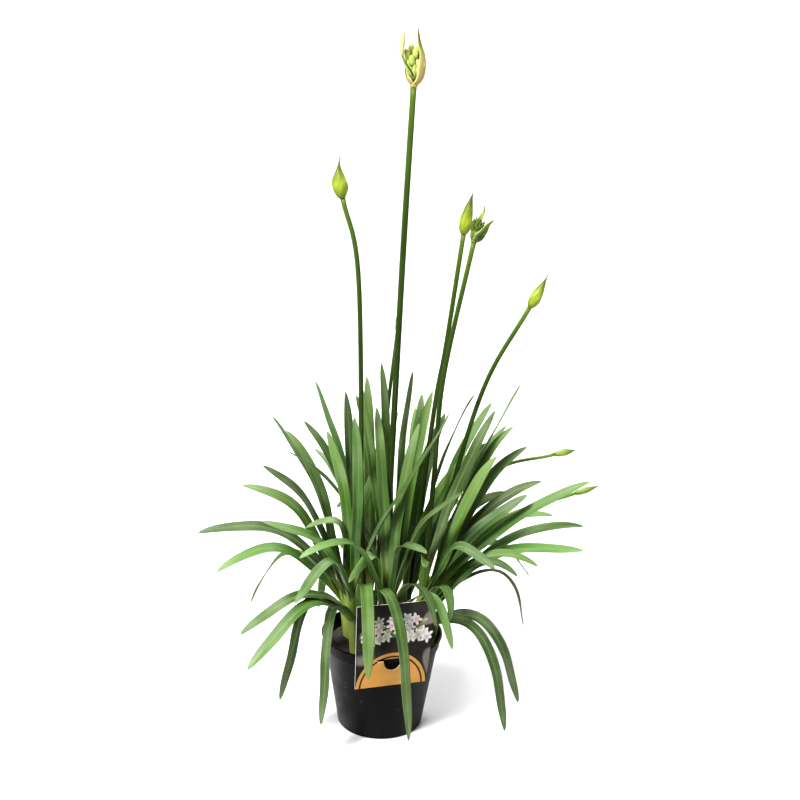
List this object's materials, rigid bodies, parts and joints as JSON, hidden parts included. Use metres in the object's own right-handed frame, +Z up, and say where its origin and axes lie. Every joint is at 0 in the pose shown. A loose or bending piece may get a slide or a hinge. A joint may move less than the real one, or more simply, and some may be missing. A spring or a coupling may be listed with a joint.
{
  "type": "agapanthus plant",
  "caption": "Potted agapanthus in bud: strap leaves in leek-like shoots and tall flower stems in a round nursery pot with a label card.",
  "frame": {"origin": "centre of the pot's flat base, on the surface that it stands on", "axes": "+Z up along the pot's axis, -Y towards the label card and the front, +X to the front view's right"},
  "size_m": [0.425, 0.3042, 0.7323],
  "materials": {
    "pot_plastic": "satin",
    "peat": "matte",
    "card": "satin",
    "leaf": "satin",
    "scape": "satin",
    "spathe": "satin",
    "floret": "satin"
  },
  "bodies": {
    "root": {"pot": "pot_plastic", "soil": "peat", "label_card": "card", "shoot_1": "leaf", "shoot_2": "leaf", "shoot_3": "leaf", "shoot_4": "leaf", "shoot_5": "leaf", "shoot_6": "leaf", "shoot_7": "leaf", "shoot_8": "leaf", "scape_1": "scape", "scape_2": "scape", "scape_3": "scape", "scape_4": "scape", "scape_5": "scape", "scape_6": "scape", "scape_7": "scape", "scape_8": "scape", "spathe_1": "spathe", "spathe_2": "spathe", "spathe_3": "spathe", "spathe_4": "spathe", "spathe_5": "spathe", "spathe_6": "spathe", "spathe_7": "spathe", "spathe_8": "spathe", "florets_1": "floret", "florets_3": "floret"}
  },
  "joints": []
}
